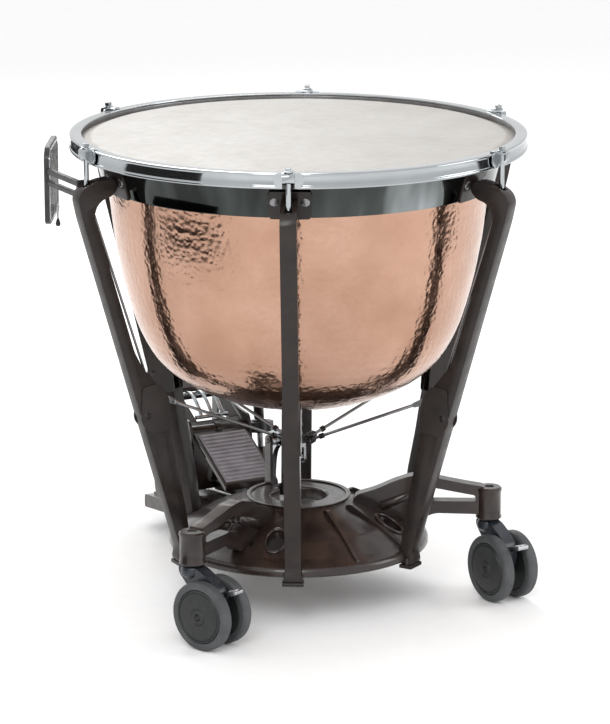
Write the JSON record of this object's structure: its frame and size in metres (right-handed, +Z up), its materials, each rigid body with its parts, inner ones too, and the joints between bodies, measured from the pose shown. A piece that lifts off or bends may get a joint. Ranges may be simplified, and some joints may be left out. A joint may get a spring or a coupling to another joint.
{
  "type": "pedal timpani",
  "caption": "Pedal timpani: copper kettle on a strut frame, with a foot pedal that tunes the head through a spider and bell cranks, on casters and a foot.",
  "frame": {"origin": "on the floor, at the centre of the part's box", "axes": "+Z up, +Y towards the player's side, where the pedal is, +X to the right of a listener who faces the drum from -Y"},
  "size_m": [0.87, 0.9316, 0.866],
  "materials": {
    "copper": "hammered and polished copper, lacquered",
    "chrome": "polished chrome plate",
    "casting": "dark brown gloss enamel on cast aluminium",
    "steel": "bright steel",
    "head_skin": "translucent polyester film, calf-coloured",
    "tread": "ribbed grey rubber",
    "wheel": "grey rubber tyre on a black disc",
    "caster_fork": "blue-black gloss moulding",
    "rubber": "black rubber",
    "black_plastic": "black, satin"
  },
  "bodies": {
    "frame": {"base_casting": "casting", "leg_left": "casting", "leg_right": "casting", "pedal_deck": "casting", "pedal_cradle": "casting", "rear_foot": "rubber", "strut_1": "casting", "strut_2": "casting", "strut_3": "casting", "strut_4": "casting", "strut_5": "casting", "strut_6": "casting", "bowl": "copper", "bowl_band": "chrome", "drumhead": "head_skin", "tuner_tube": "casting", "tuner_bracket": "casting", "tuning_gauge": "black_plastic"},
    "hoop": {"counterhoop": "chrome", "flesh_hoop": "head_skin", "strut_rod_1": "steel", "strut_rod_2": "steel", "strut_rod_3": "steel", "strut_rod_4": "steel", "strut_rod_5": "steel", "strut_rod_6": "steel"},
    "pedal": {"footplate": "casting", "footplate_tread": "tread"},
    "rocker": {"rocker": "chrome"},
    "drag_link": {"drag_link": "steel"},
    "spider": {"spider": "steel"},
    "bell_crank_1": {"bell_crank_1": "casting"},
    "pull_rod_1": {"pull_rod_1": "steel"},
    "tension_screw_1": {"tension_screw_1": "chrome"},
    "bell_crank_2": {"bell_crank_2": "casting"},
    "pull_rod_2": {"pull_rod_2": "steel"},
    "tension_screw_2": {"tension_screw_2": "chrome"},
    "bell_crank_3": {"bell_crank_3": "casting"},
    "pull_rod_3": {"pull_rod_3": "steel"},
    "tension_screw_3": {"tension_screw_3": "chrome"},
    "bell_crank_4": {"bell_crank_4": "casting"},
    "pull_rod_4": {"pull_rod_4": "steel"},
    "tension_screw_4": {"tension_screw_4": "chrome"},
    "bell_crank_5": {"bell_crank_5": "casting"},
    "pull_rod_5": {"pull_rod_5": "steel"},
    "tension_screw_5": {"tension_screw_5": "chrome"},
    "bell_crank_6": {"bell_crank_6": "casting"},
    "pull_rod_6": {"pull_rod_6": "steel"},
    "tension_screw_6": {"tension_screw_6": "chrome"},
    "caster_fork_left": {"caster_fork_left": "caster_fork"},
    "caster_wheel_left_a": {"caster_wheel_left_a": "wheel"},
    "caster_wheel_left_b": {"caster_wheel_left_b": "wheel"},
    "caster_brake_left": {"caster_brake_left": "steel"},
    "caster_fork_right": {"caster_fork_right": "caster_fork"},
    "caster_wheel_right_a": {"caster_wheel_right_a": "wheel"},
    "caster_wheel_right_b": {"caster_wheel_right_b": "wheel"},
    "caster_brake_right": {"caster_brake_right": "steel"},
    "tuner_handwheel": {"tuner_handwheel": "black_plastic"},
    "tuner_crank": {"tuner_crank": "black_plastic"},
    "gauge_pointer": {"gauge_pointer": "steel"}
  },
  "joints": [
    {"name": "pedal_tilt", "type": "hinge", "parent": "frame", "child": "pedal", "pos_m": [0, 0.27575, 0.225], "axis": [-1, 0, 0], "range_deg": [0, 26.25]},
    {"name": "rocker_tilt", "type": "hinge", "parent": "frame", "child": "rocker", "pos_m": [0, 0.02575, 0.264], "axis": [-1, 0, 0], "range_deg": [0, 19]},
    {"name": "drag_link_pivot", "type": "hinge", "parent": "rocker", "child": "drag_link", "pos_m": [0, 0.04915, 0.1239], "axis": [1, 0, 0], "range_deg": [0, 19]},
    {"name": "spider_lift", "type": "slide", "parent": "frame", "child": "spider", "axis": [0, 0, 1], "range_m": [0, 0.0281]},
    {"name": "hoop_lift", "type": "slide", "parent": "frame", "child": "hoop", "axis": [0, 0, 1], "range_m": [0, 0.0065]},
    {"name": "bell_crank_1_tilt", "type": "hinge", "parent": "frame", "child": "bell_crank_1", "pos_m": [-0.1545, -0.32685, 0.371], "axis": [0.866, -0.5, 0], "range_deg": [0, 14.6]},
    {"name": "pull_rod_1_tilt", "type": "hinge", "parent": "bell_crank_1", "child": "pull_rod_1", "pos_m": [-0.135, -0.29308, 0.396], "axis": [-0.866, 0.5, 0], "range_deg": [0, 10.3]},
    {"name": "tension_screw_1_turn", "type": "hinge", "parent": "hoop", "child": "tension_screw_1", "pos_m": [-0.2065, -0.41692, 0.83], "axis": [0, 0, 1], "continuous": true},
    {"name": "bell_crank_2_tilt", "type": "hinge", "parent": "frame", "child": "bell_crank_2", "pos_m": [0.1545, -0.32685, 0.371], "axis": [0.866, 0.5, 0], "range_deg": [0, 14.6]},
    {"name": "pull_rod_2_tilt", "type": "hinge", "parent": "bell_crank_2", "child": "pull_rod_2", "pos_m": [0.135, -0.29308, 0.396], "axis": [-0.866, -0.5, 0], "range_deg": [0, 10.3]},
    {"name": "tension_screw_2_turn", "type": "hinge", "parent": "hoop", "child": "tension_screw_2", "pos_m": [0.2065, -0.41692, 0.83], "axis": [0, 0, 1], "continuous": true},
    {"name": "bell_crank_3_tilt", "type": "hinge", "parent": "frame", "child": "bell_crank_3", "pos_m": [0.309, -0.05925, 0.371], "axis": [0, 1, 0], "range_deg": [0, 14.6]},
    {"name": "pull_rod_3_tilt", "type": "hinge", "parent": "bell_crank_3", "child": "pull_rod_3", "pos_m": [0.27, -0.05925, 0.396], "axis": [0, -1, 0], "range_deg": [0, 10.3]},
    {"name": "tension_screw_3_turn", "type": "hinge", "parent": "hoop", "child": "tension_screw_3", "pos_m": [0.413, -0.05925, 0.83], "axis": [0, 0, 1], "continuous": true},
    {"name": "bell_crank_4_tilt", "type": "hinge", "parent": "frame", "child": "bell_crank_4", "pos_m": [0.1545, 0.20835, 0.371], "axis": [-0.866, 0.5, 0], "range_deg": [0, 14.6]},
    {"name": "pull_rod_4_tilt", "type": "hinge", "parent": "bell_crank_4", "child": "pull_rod_4", "pos_m": [0.135, 0.17458, 0.396], "axis": [0.866, -0.5, 0], "range_deg": [0, 10.3]},
    {"name": "tension_screw_4_turn", "type": "hinge", "parent": "hoop", "child": "tension_screw_4", "pos_m": [0.2065, 0.29842, 0.83], "axis": [0, 0, 1], "continuous": true},
    {"name": "bell_crank_5_tilt", "type": "hinge", "parent": "frame", "child": "bell_crank_5", "pos_m": [-0.1545, 0.20835, 0.371], "axis": [-0.866, -0.5, 0], "range_deg": [0, 14.6]},
    {"name": "pull_rod_5_tilt", "type": "hinge", "parent": "bell_crank_5", "child": "pull_rod_5", "pos_m": [-0.135, 0.17458, 0.396], "axis": [0.866, 0.5, 0], "range_deg": [0, 10.3]},
    {"name": "tension_screw_5_turn", "type": "hinge", "parent": "hoop", "child": "tension_screw_5", "pos_m": [-0.2065, 0.29842, 0.83], "axis": [0, 0, 1], "continuous": true},
    {"name": "bell_crank_6_tilt", "type": "hinge", "parent": "frame", "child": "bell_crank_6", "pos_m": [-0.309, -0.05925, 0.371], "axis": [0, -1, 0], "range_deg": [0, 14.6]},
    {"name": "pull_rod_6_tilt", "type": "hinge", "parent": "bell_crank_6", "child": "pull_rod_6", "pos_m": [-0.27, -0.05925, 0.396], "axis": [0, 1, 0], "range_deg": [0, 10.3]},
    {"name": "tension_screw_6_turn", "type": "hinge", "parent": "hoop", "child": "tension_screw_6", "pos_m": [-0.413, -0.05925, 0.83], "axis": [0, 0, 1], "continuous": true},
    {"name": "caster_left_swivel", "type": "hinge", "parent": "frame", "child": "caster_fork_left", "pos_m": [-0.29964, -0.23225, 0.15], "axis": [0, 0, 1], "continuous": true},
    {"name": "caster_wheel_left_a_roll", "type": "hinge", "parent": "caster_fork_left", "child": "caster_wheel_left_a", "pos_m": [-0.28235, -0.27379, 0.0615], "axis": [0.9232, 0.3843, 0], "continuous": true},
    {"name": "caster_wheel_left_b_roll", "type": "hinge", "parent": "caster_fork_left", "child": "caster_wheel_left_b", "pos_m": [-0.28235, -0.27379, 0.0615], "axis": [0.9232, 0.3843, 0], "continuous": true},
    {"name": "caster_brake_left_press", "type": "hinge", "parent": "caster_fork_left", "child": "caster_brake_left", "pos_m": [-0.26967, -0.30426, 0.102], "axis": [0.9232, 0.3843, 0], "range_deg": [0, 14]},
    {"name": "caster_right_swivel", "type": "hinge", "parent": "frame", "child": "caster_fork_right", "pos_m": [0.29964, -0.23225, 0.15], "axis": [0, 0, 1], "continuous": true},
    {"name": "caster_wheel_right_a_roll", "type": "hinge", "parent": "caster_fork_right", "child": "caster_wheel_right_a", "pos_m": [0.30404, -0.27703, 0.0615], "axis": [0.9952, 0.0976, 0], "continuous": true},
    {"name": "caster_wheel_right_b_roll", "type": "hinge", "parent": "caster_fork_right", "child": "caster_wheel_right_b", "pos_m": [0.30404, -0.27703, 0.0615], "axis": [0.9952, 0.0976, 0], "continuous": true},
    {"name": "caster_brake_right_press", "type": "hinge", "parent": "caster_fork_right", "child": "caster_brake_right", "pos_m": [0.30726, -0.30988, 0.102], "axis": [0.9952, 0.0976, 0], "range_deg": [0, 14]},
    {"name": "tuner_crank_turn", "type": "hinge", "parent": "frame", "child": "tuner_crank", "pos_m": [0.102, 0.35875, 0.76], "axis": [0.0073, 0.1274, 0.9918], "continuous": true},
    {"name": "tuner_handwheel_turn", "type": "hinge", "parent": "frame", "child": "tuner_handwheel", "pos_m": [0.098, 0.28875, 0.215], "axis": [0.0073, 0.1274, 0.9918], "continuous": true},
    {"name": "gauge_pointer_slide", "type": "slide", "parent": "frame", "child": "gauge_pointer", "axis": [0, 0, 1], "range_m": [0, 0.0602]}
  ],
  "couplings": [
    {"joint": "rocker_tilt", "follows": "pedal_tilt", "ratio": 0.72229},
    {"joint": "drag_link_pivot", "follows": "pedal_tilt", "ratio": 0.72229},
    {"joint": "spider_lift", "follows": "pedal_tilt", "m_per_rad": 0.061115},
    {"joint": "hoop_lift", "follows": "pedal_tilt", "m_per_rad": 0.013947},
    {"joint": "bell_crank_1_tilt", "follows": "pedal_tilt", "ratio": 0.55329},
    {"joint": "pull_rod_1_tilt", "follows": "pedal_tilt", "ratio": 0.38846},
    {"joint": "bell_crank_2_tilt", "follows": "pedal_tilt", "ratio": 0.55329},
    {"joint": "pull_rod_2_tilt", "follows": "pedal_tilt", "ratio": 0.38846},
    {"joint": "bell_crank_3_tilt", "follows": "pedal_tilt", "ratio": 0.55329},
    {"joint": "pull_rod_3_tilt", "follows": "pedal_tilt", "ratio": 0.38846},
    {"joint": "bell_crank_4_tilt", "follows": "pedal_tilt", "ratio": 0.55329},
    {"joint": "pull_rod_4_tilt", "follows": "pedal_tilt", "ratio": 0.38846},
    {"joint": "bell_crank_5_tilt", "follows": "pedal_tilt", "ratio": 0.55329},
    {"joint": "pull_rod_5_tilt", "follows": "pedal_tilt", "ratio": 0.38846},
    {"joint": "bell_crank_6_tilt", "follows": "pedal_tilt", "ratio": 0.55329},
    {"joint": "pull_rod_6_tilt", "follows": "pedal_tilt", "ratio": 0.38846},
    {"joint": "tuner_handwheel_turn", "follows": "tuner_crank_turn", "ratio": 1},
    {"joint": "gauge_pointer_slide", "follows": "pedal_tilt", "m_per_rad": 0.13096}
  ]
}
